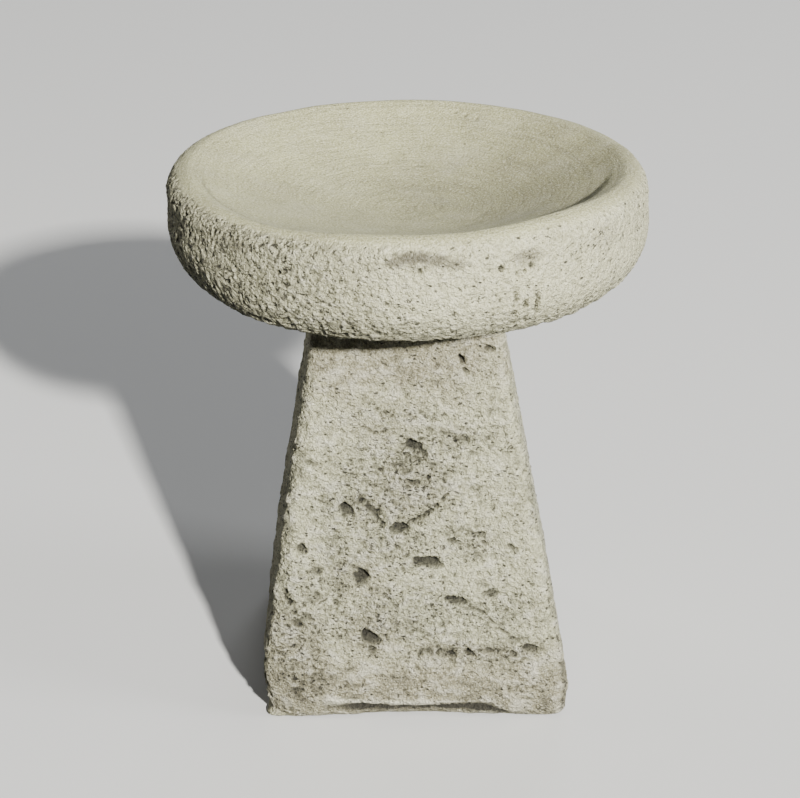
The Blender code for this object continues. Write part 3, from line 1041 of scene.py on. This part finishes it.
def cast_stone(name, pale, dark, dish_pale, lump_size, gap_limit, dot_size, dot_shares):
    """Cast stone: mottled, with grains, painted shade and dust in its recesses, gaps, dots and pin holes,
    and painted highlights on its raised relief.

    The gap limit is lower where rough stone has more gaps. The two shares say how many of the places for
    a small dark dot have one, on smooth stone and on rough stone.
    """
    nodes = Nodes(name)
    place = nodes.place()
    rugged = nodes.warped(nodes.place((1, 1, 1.15)), 0.0030, 0.0030)
    flattened = nodes.warped(nodes.place((1, 1, 1.7)), 0.0040, 0.0018)
    hollow, crest, roughcast = (nodes.attribute(key) for key in ("hollow", "crest", "roughcast"))
    trowelled, stain = nodes.attribute("trowelled"), nodes.attribute("stain")

    # Patterns, 0 to 1 or -1 to 1
    clouds = nodes.ramp(nodes.noise(place, 0.045, 5), 0.36, 0.66)
    mottle = nodes.ramp(nodes.noise(place, 0.009, 4), 0.38, 0.66)
    grains = nodes.ramp(nodes.noise(place, 0.0016, 2, 0.7), 0.35, 0.65, -1, 1)
    lumps = nodes.ramp(nodes.noise(rugged, lump_size, 3, 0.62), 0.3, 0.7, -1, 1)
    gaps = nodes.ramp(nodes.plus(lumps, nodes.ramp(roughcast, 0.3, 1, 0.42, gap_limit)), -0.35, -0.62)
    gaps = nodes.times(gaps, nodes.ramp(trowelled, 0.3, 0.8, 1, 0))
    dots = nodes.holes(flattened, dot_size, 0.40, nodes.ramp(roughcast, 0.4, 1, *dot_shares))
    dots = nodes.times(dots, nodes.ramp(trowelled, 0.3, 0.8, 1, 0.2))
    pin_holes = nodes.holes(place, 0.0130, 0.14, 0.15)
    streaks = nodes.times(nodes.ramp(nodes.rings(place, 0.0050), 0.45, 0.62), trowelled)
    streaks_seen = nodes.times(streaks, nodes.ramp(stain, 0, 0.6, 0.12, 0.40))

    # Colour: the stone, the dish in its own tint, then the marks on both
    base = nodes.mix(nodes.times(clouds, 0.35), (*pale, 1), (*dark, 1))
    base = nodes.mix(nodes.times(mottle, 0.30), base, (*dark, 1))
    dish = nodes.mix(nodes.times(clouds, 0.40), (*dish_pale, 1), DISH_CLOUD)
    # The dish's weathering, and painted shade on its right side
    dish = nodes.mix(nodes.times(stain, 0.60), dish, DISH_STAINED_AND_SHADED)
    dish = nodes.mix(streaks_seen, dish, DISH_STREAK)
    # Stains, and painted shade under the bowl on the pedestal's front
    stained_and_shaded = nodes.mix(nodes.times(stain, 0.75), base, STAIN_AND_SHADE)
    colour = nodes.mix(trowelled, stained_and_shaded, dish)
    colour = nodes.mix(nodes.ramp(grains, -0.1, -1, 0, 0.50), colour, DARK_GRAIN)
    colour = nodes.mix(nodes.ramp(grains, 0.1, 1, 0, 0.40), colour, PALE_GRAIN)
    # Painted highlight on raised relief
    colour = nodes.mix(nodes.times(crest, 0.60), colour, PAINTED_HIGHLIGHT)
    # Painted shade and dust: darker the deeper the relief sinks
    colour = nodes.mix(nodes.times(hollow, 0.95), colour, HOLLOW_SHADE_AND_DUST)
    # Painted shade and dust in the gaps between lumps
    colour = nodes.mix(nodes.times(gaps, 0.85), colour, GAP_SHADE_AND_DUST)
    # Painted shade and dust in small pits
    colour = nodes.mix(nodes.times(dots, 0.88), colour, DOT_SHADE_AND_DUST)
    # Painted shade and dust: dark spots for pin holes, with no relief under them
    colour = nodes.mix(nodes.times(pin_holes, 0.60), colour, PIN_HOLE_SHADE_AND_DUST)

    # Relief in metres, too fine for the mesh
    relief = nodes.times(nodes.times(lumps, roughcast), nodes.ramp(trowelled, 0, 1, 0.0034, 0.0008))
    coarse_grains = nodes.times(grains, nodes.ramp(roughcast, 0, 1, 0.50, 1))
    relief = nodes.plus(relief, nodes.times(coarse_grains, 0.00035))
    relief = nodes.plus(relief, nodes.times(streaks, -0.0003))
    relief = nodes.plus(relief, nodes.times(gaps, -0.0010))
    relief = nodes.plus(relief, nodes.times(dots, -0.0014))
    dull = nodes.ramp(nodes.noise(place, 0.006, 3), 0.3, 0.7, 0.84, 0.98)
    return nodes.finish(Base_Color=colour, Roughness=dull, Normal=nodes.bump(relief))


def galvanised_steel():
    nodes = Nodes("galvanised_steel")
    place = nodes.place()
    spangle = nodes.ramp(nodes.cells(place, 0.004), 0.2, 0.6)
    colour = nodes.mix(spangle, (0.46, 0.48, 0.50, 1), (0.60, 0.61, 0.62, 1))
    dull = nodes.ramp(nodes.noise(place, 0.008), 0.3, 0.7, 0.34, 0.58)
    fine = nodes.times(nodes.noise(place, 0.0012), 0.0001)
    return nodes.finish(Base_Color=colour, Metallic=1.0, Roughness=dull, Normal=nodes.bump(fine))


def pad_rubber():
    nodes = Nodes("pad_rubber")
    place = nodes.place()
    dust = nodes.ramp(nodes.noise(place, 0.0055, 5), 0.45, 0.75)
    colour = nodes.mix(dust, (0.025, 0.025, 0.027, 1), (0.10, 0.097, 0.085, 1))
    dull = nodes.ramp(dust, 0, 1, 0.62, 0.9)
    fine = nodes.times(nodes.noise(place, 0.0008, 3), 0.0002)
    return nodes.finish(Base_Color=colour, Roughness=dull, Normal=nodes.bump(fine))


# ------------ studio

def aim(obj, target):
    """Turns a camera or a light towards the target, and adds it to the scene."""
    obj.rotation_euler = (Vector(target) - obj.location).to_track_quat("-Z", "Y").to_euler()
    bpy.context.scene.collection.objects.link(obj)


def make_camera():
    data = bpy.data.cameras.new("camera")
    data.lens = CAMERA_LENS
    camera = bpy.data.objects.new("camera", data)
    camera.location = CAMERA_PLACE
    aim(camera, CAMERA_TARGET)
    bpy.context.scene.camera = camera


def area_light(name, bearing, elevation, size, power, colour):
    """A square light at a bearing and an elevation in degrees, aimed at the middle of the bird bath."""
    data = bpy.data.lights.new(name, "AREA")
    data.size, data.energy, data.color = size, power, colour
    light = bpy.data.objects.new(name, data)
    across = LIGHT_DISTANCE * cos(radians(elevation))
    up = LIGHT_DISTANCE * sin(radians(elevation))
    x, y = across * sin(radians(bearing)), -across * cos(radians(bearing))
    light.location = (x, y, LIGHT_TARGET[2] + up)
    light.visible_camera = False
    aim(light, LIGHT_TARGET)


def make_floor():
    corners = [(x * FLOOR_HALF, y * FLOOR_HALF, 0) for x, y in ((-1, -1), (1, -1), (1, 1), (-1, 1))]
    mesh = bpy.data.meshes.new("studio_floor")
    mesh.from_pydata(corners, [], [(0, 1, 2, 3)])
    mesh.materials.append(Nodes("studio_floor").finish(Base_Color=FLOOR_COLOUR, Roughness=0.9))
    floor = bpy.data.objects.new("studio_floor", mesh)
    bpy.context.scene.collection.objects.link(floor)
    floor.visible_diffuse = False  # so that its bounce doesn't wash out the stone's shadows


def make_studio():
    make_floor()
    world = bpy.data.worlds.new("studio")
    world.use_nodes = True
    sky = world.node_tree.nodes["Background"]
    sky.inputs["Color"].default_value = SKY_COLOUR
    sky.inputs["Strength"].default_value = SKY_STRENGTH
    bpy.context.scene.world = world
    for light in LIGHTS:
        area_light(*light)


# ------------ scene

make_camera()
make_studio()

bowl = bowl_skin()
shape_bowl(bowl)
bowl_stone = cast_stone(
    "bowl_cast_stone",
    pale=(0.71, 0.690, 0.455),
    dark=(0.42, 0.40, 0.24),
    dish_pale=(0.525, 0.515, 0.28),
    lump_size=0.0050,
    gap_limit=-0.10,
    dot_size=0.0048,
    dot_shares=(0.12, 0.20),
)
add_piece(thinned(bowl), bowl_stone, "bowl")

pedestal = pedestal_skin()
shape_pedestal(pedestal)
pedestal_stone = cast_stone(
    "pedestal_cast_stone",
    pale=(0.70, 0.685, 0.455),
    dark=(0.40, 0.385, 0.23),
    dish_pale=(0.70, 0.685, 0.455),
    lump_size=0.0040,
    gap_limit=-0.02,
    dot_size=0.0054,
    dot_shares=(0.05, 0.60),
)
add_piece(thinned(pedestal), pedestal_stone, "pedestal")

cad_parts["locating_dowel"].material_slots[0].material = galvanised_steel()
rubber = pad_rubber()
for number in (1, 2, 3, 4):
    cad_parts[f"setting_pad_{number}"].material_slots[0].material = rubber
